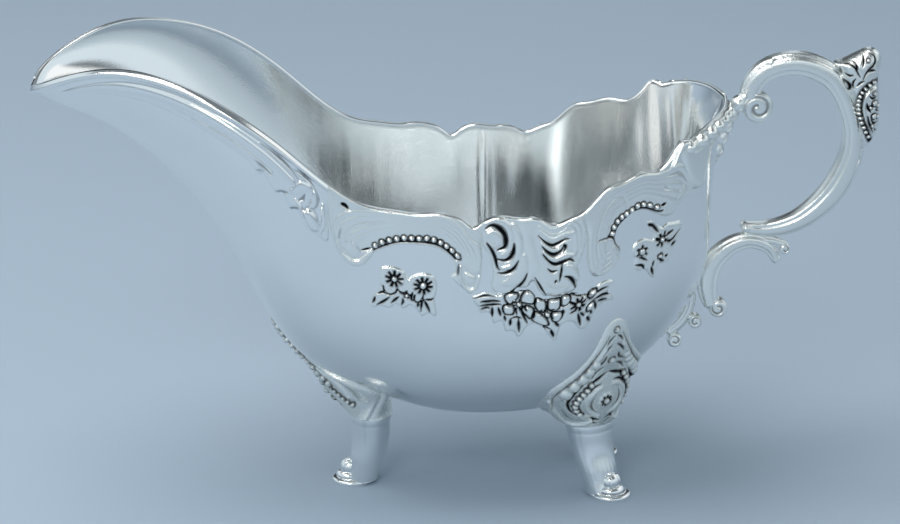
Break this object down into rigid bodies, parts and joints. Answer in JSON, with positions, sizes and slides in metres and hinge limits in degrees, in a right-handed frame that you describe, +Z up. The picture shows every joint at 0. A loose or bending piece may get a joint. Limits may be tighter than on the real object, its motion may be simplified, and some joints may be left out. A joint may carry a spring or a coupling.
{
  "type": "sauce boat",
  "caption": "Plated metal sauce boat with a wide high spout, cast rococo borders, a C-scroll handle and three scrolled feet.",
  "frame": {"origin": "on the table under the middle of the whole boat's box; the three foot pads stand on Z = 0", "axes": "+X towards the handle, -X towards the tip of the spout, +Z up; Y = 0 is the plane of symmetry, -Y is the left side"},
  "size_m": [0.2358, 0.0966, 0.1301],
  "materials": {
    "silver": "polished silver plate with soft hand-finished ripples",
    "oxidised_silver": "cast silver plate, polished on its high parts and blackened in its crevices"
  },
  "bodies": {
    "root": {"bowl": "silver", "left_spout_border": "silver", "right_spout_border": "silver", "left_front_cartouche": "oxidised_silver", "right_front_cartouche": "oxidised_silver", "left_side_crest": "oxidised_silver", "right_side_crest": "oxidised_silver", "left_back_cartouche": "oxidised_silver", "right_back_cartouche": "oxidised_silver", "left_front_spray": "oxidised_silver", "right_front_spray": "oxidised_silver", "left_side_spray": "oxidised_silver", "right_side_spray": "oxidised_silver", "left_back_spray": "oxidised_silver", "right_back_spray": "oxidised_silver", "handle_grip": "silver", "handle_stem": "silver", "thumb_cartouche": "oxidised_silver", "lower_bracket": "silver", "bracket_tail": "silver", "front_knee": "oxidised_silver", "front_leg": "silver", "left_rear_knee": "oxidised_silver", "right_rear_knee": "oxidised_silver", "left_rear_leg": "silver", "right_rear_leg": "silver"}
  },
  "joints": []
}
